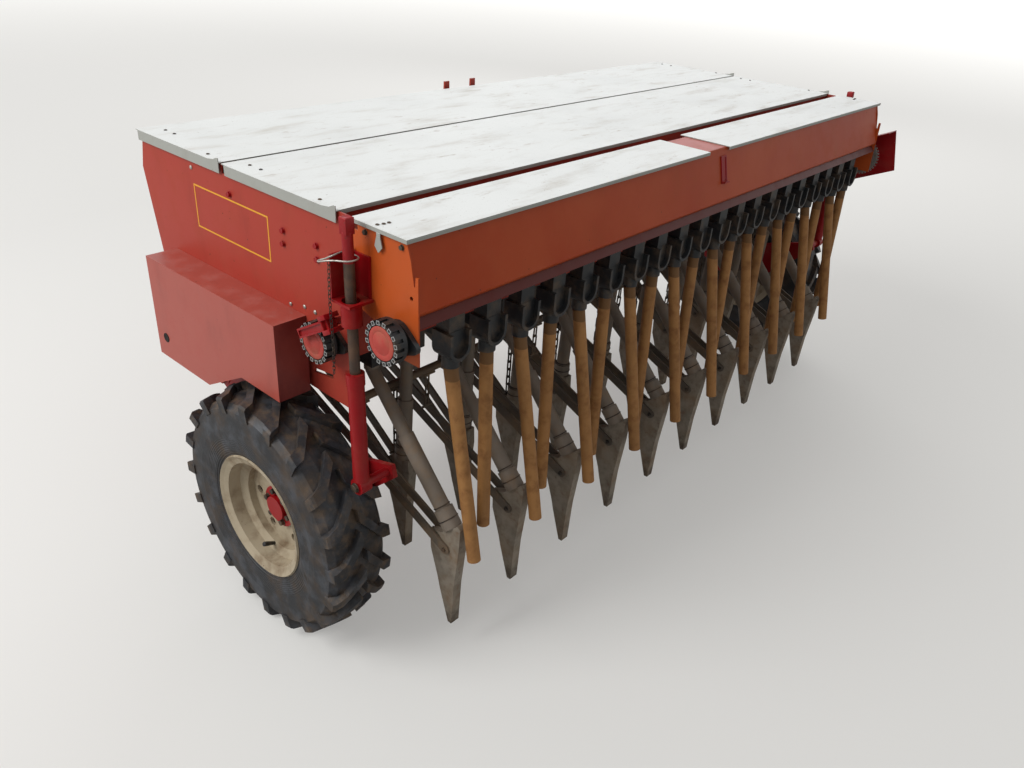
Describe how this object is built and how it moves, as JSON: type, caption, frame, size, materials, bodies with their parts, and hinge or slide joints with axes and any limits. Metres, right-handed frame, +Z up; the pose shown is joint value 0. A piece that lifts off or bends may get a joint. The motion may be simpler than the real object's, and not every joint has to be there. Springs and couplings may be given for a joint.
{
  "type": "seed drill",
  "caption": "Towed seed drill with two wide hoppers, a small rear seed box, hanging tubes, boots on drag arms and two lugged wheels on arms with lift cylinders.",
  "frame": {"origin": "on the ground under the centre of the whole machine's bounding box, wheels and jack on the ground", "axes": "+X to the machine's right along the hopper, +Y forward to the hitch eye, +Z up"},
  "size_m": [2.981, 2.5626, 1.281],
  "materials": {
    "paint_red": "satin, dusty",
    "paint_orange_red": "satin",
    "paint_bright_red": "satin",
    "zinc_sheet": "pale galvanised sheet",
    "bare_steel": "dull zinc-plated",
    "worn_steel": "worn, brown-grey",
    "rusty_rod": "rusted brown",
    "rim_cream": "matte cream",
    "tyre_rubber": "matte",
    "tube_tan": "matte",
    "black_plastic": "matte"
  },
  "bodies": {
    "frame": {"hopper_trough": "paint_red", "end_panel_left": "paint_red", "end_panel_right": "paint_red", "seed_box": "paint_red", "rear_panel": "paint_orange_red", "rear_end_plates": "paint_orange_red", "lid_hinges": "bare_steel", "drive_cover_left": "paint_red", "chain_guard_right": "paint_bright_red", "seed_gear": "bare_steel", "side_plates": "paint_red", "front_beam": "paint_red", "arm_mounts": "paint_red", "hopper_stands": "paint_red", "drag_beam": "worn_steel", "drawbar_left": "paint_red", "drawbar_right": "paint_red", "hitch_eye": "bare_steel", "jack_tube": "paint_red", "cylinder_brackets": "paint_bright_red", "rate_knobs": "black_plastic", "box_chutes": "black_plastic", "tan_tubes": "tube_tan", "feed_units": "black_plastic", "seed_tubes": "worn_steel", "drag_arms": "worn_steel", "lift_chains": "worn_steel", "boots": "worn_steel"},
    "lid_front": {"lid_front": "zinc_sheet"},
    "lid_rear": {"lid_rear": "zinc_sheet"},
    "lid_box_left": {"lid_box_left": "zinc_sheet"},
    "lid_box_right": {"lid_box_right": "zinc_sheet"},
    "jack_leg": {"jack_leg": "bare_steel"},
    "arm_left": {"wheel_arm_left": "paint_bright_red"},
    "wheel_left": {"tyre_left": "tyre_rubber", "rim_left": "rim_cream", "hub_left": "paint_bright_red"},
    "barrel_left": {"barrel_left": "paint_bright_red"},
    "rod_left": {"rod_left": "rusty_rod"},
    "arm_right": {"wheel_arm_right": "paint_bright_red"},
    "wheel_right": {"tyre_right": "tyre_rubber", "rim_right": "rim_cream", "hub_right": "paint_bright_red"},
    "barrel_right": {"barrel_right": "paint_bright_red"},
    "rod_right": {"rod_right": "rusty_rod"}
  },
  "joints": [
    {"name": "lid_front_hinge", "type": "hinge", "parent": "frame", "child": "lid_front", "pos_m": [0, -0.06769, 1.248], "axis": [-1, 0, 0], "range_deg": [0, 95]},
    {"name": "lid_rear_hinge", "type": "hinge", "parent": "frame", "child": "lid_rear", "pos_m": [0, -0.49469, 1.248], "axis": [-1, 0, 0], "range_deg": [0, 90]},
    {"name": "lid_box_left_hinge", "type": "hinge", "parent": "frame", "child": "lid_box_left", "pos_m": [0, -0.99569, 1.248], "axis": [-1, 0, 0], "range_deg": [0, 95]},
    {"name": "lid_box_right_hinge", "type": "hinge", "parent": "frame", "child": "lid_box_right", "pos_m": [0, -0.99569, 1.248], "axis": [-1, 0, 0], "range_deg": [0, 95]},
    {"name": "arm_pivot_left", "type": "hinge", "parent": "frame", "child": "arm_left", "pos_m": [-1.287, -0.28369, 0.57], "axis": [1, 0, 0], "range_deg": [0, 18]},
    {"name": "wheel_spin_left", "type": "hinge", "parent": "arm_left", "child": "wheel_left", "pos_m": [-1.3975, -0.72369, 0.365], "axis": [1, 0, 0], "continuous": true},
    {"name": "barrel_pivot_left", "type": "hinge", "parent": "arm_left", "child": "barrel_left", "pos_m": [-1.375, -1.04469, 0.598], "axis": [1, 0, 0], "range_deg": [-16, 0]},
    {"name": "rod_slide_left", "type": "slide", "parent": "barrel_left", "child": "rod_left", "axis": [0, 0.0366, 0.9993], "range_m": [0, 0.25]},
    {"name": "arm_pivot_right", "type": "hinge", "parent": "frame", "child": "arm_right", "pos_m": [1.287, -0.28369, 0.57], "axis": [1, 0, 0], "range_deg": [0, 18]},
    {"name": "wheel_spin_right", "type": "hinge", "parent": "arm_right", "child": "wheel_right", "pos_m": [1.3975, -0.72369, 0.365], "axis": [1, 0, 0], "continuous": true},
    {"name": "barrel_pivot_right", "type": "hinge", "parent": "arm_right", "child": "barrel_right", "pos_m": [1.375, -1.04469, 0.598], "axis": [1, 0, 0], "range_deg": [-16, 0]},
    {"name": "rod_slide_right", "type": "slide", "parent": "barrel_right", "child": "rod_right", "axis": [0, 0.0366, 0.9993], "range_m": [0, 0.25]},
    {"name": "jack_slide", "type": "slide", "parent": "frame", "child": "jack_leg", "axis": [0, 0, 1], "range_m": [0, 0.25]}
  ],
  "couplings": [
    {"joint": "barrel_pivot_left", "follows": "arm_pivot_left", "ratio": -0.8566},
    {"joint": "rod_slide_left", "follows": "arm_pivot_left", "m_per_rad": 0.7546},
    {"joint": "barrel_pivot_right", "follows": "arm_pivot_right", "ratio": -0.8566},
    {"joint": "rod_slide_right", "follows": "arm_pivot_right", "m_per_rad": 0.7546}
  ]
}
